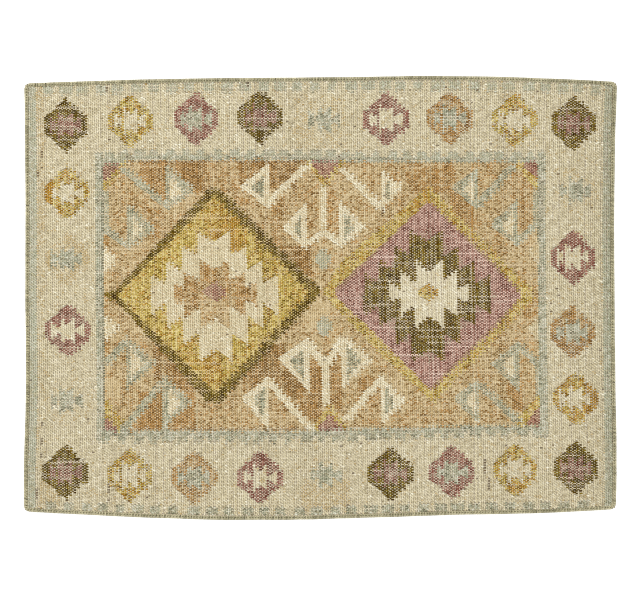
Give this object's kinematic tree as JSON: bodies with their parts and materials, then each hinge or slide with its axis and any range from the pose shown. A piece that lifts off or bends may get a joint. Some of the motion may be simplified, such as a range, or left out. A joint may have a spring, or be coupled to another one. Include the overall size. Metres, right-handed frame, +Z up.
{
  "type": "jute kilim rug",
  "caption": "Oblong flat-woven jute rug lying flat, long edges bowed slightly out, bound and stitched all round, with stepped diamonds, hooks and small medallions woven in soft plant colours.",
  "frame": {"origin": "under the middle of the rug, on the surface that it lies on", "axes": "+X along the rug's length, +Y across its width, +Z up out of its face"},
  "size_m": [1.6253, 1.2166, 0.007],
  "materials": {
    "woven_jute": "flat-woven dyed jute over cotton warps, matt and slightly hairy",
    "binding_yarn": "sage overcast yarn, matt"
  },
  "bodies": {
    "root": {"woven_panel": "woven_jute", "binding": "binding_yarn"}
  },
  "joints": []
}
